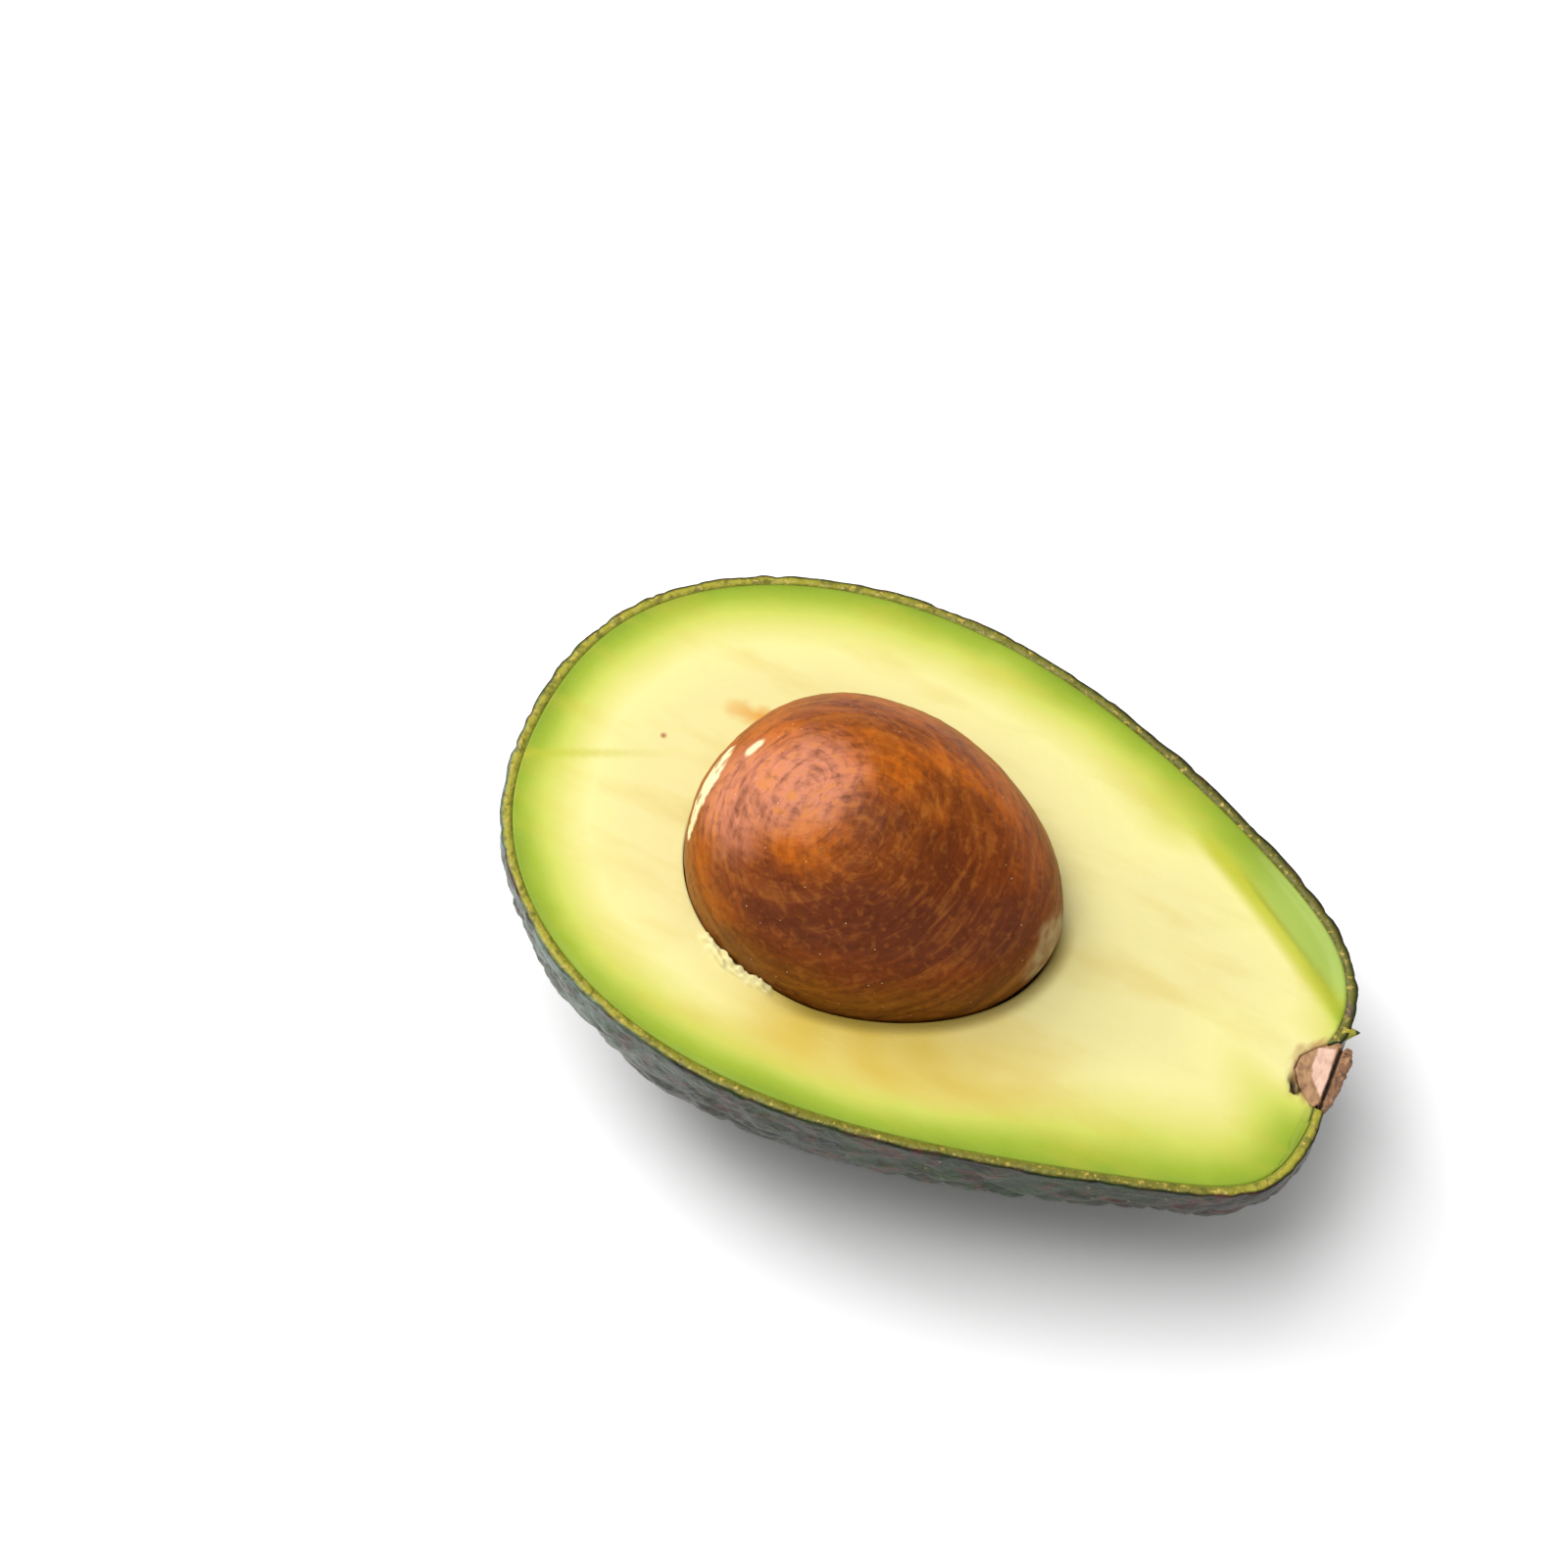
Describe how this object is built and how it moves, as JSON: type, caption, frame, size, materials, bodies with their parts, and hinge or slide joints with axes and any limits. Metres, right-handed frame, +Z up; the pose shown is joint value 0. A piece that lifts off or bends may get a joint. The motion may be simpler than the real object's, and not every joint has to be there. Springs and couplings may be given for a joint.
{
  "type": "avocado half",
  "caption": "Halved avocado lying cut face up on a small flat spot, with pebbly dark peel, green-to-yellow flesh, an egg-shaped brown seed in its hollow and a stub of stalk.",
  "frame": {"origin": "on the surface that it lies on, under the middle of the part's own box", "axes": "+X along the fruit towards its stem end, +Z up, out of the cut face apart from a tip of 7 degrees that lowers the stem end, +Y across the cut face"},
  "size_m": [0.1002, 0.0686, 0.052],
  "materials": {
    "peel": "thick pebbled peel, dark grey-green with brown and reddish patches, waxy gloss",
    "flesh": "firm cut flesh, pale yellow in the middle and bright green next to the peel, moist satin",
    "seed": "thin papery seed coat, mottled reddish brown with pale scraped patches, satin",
    "stalk": "cut woody stalk, pinkish cream pith and rough brown bark, matt"
  },
  "bodies": {
    "root": {"peel": "peel", "flesh": "flesh", "seed": "seed", "stem_stub": "stalk"}
  },
  "joints": []
}
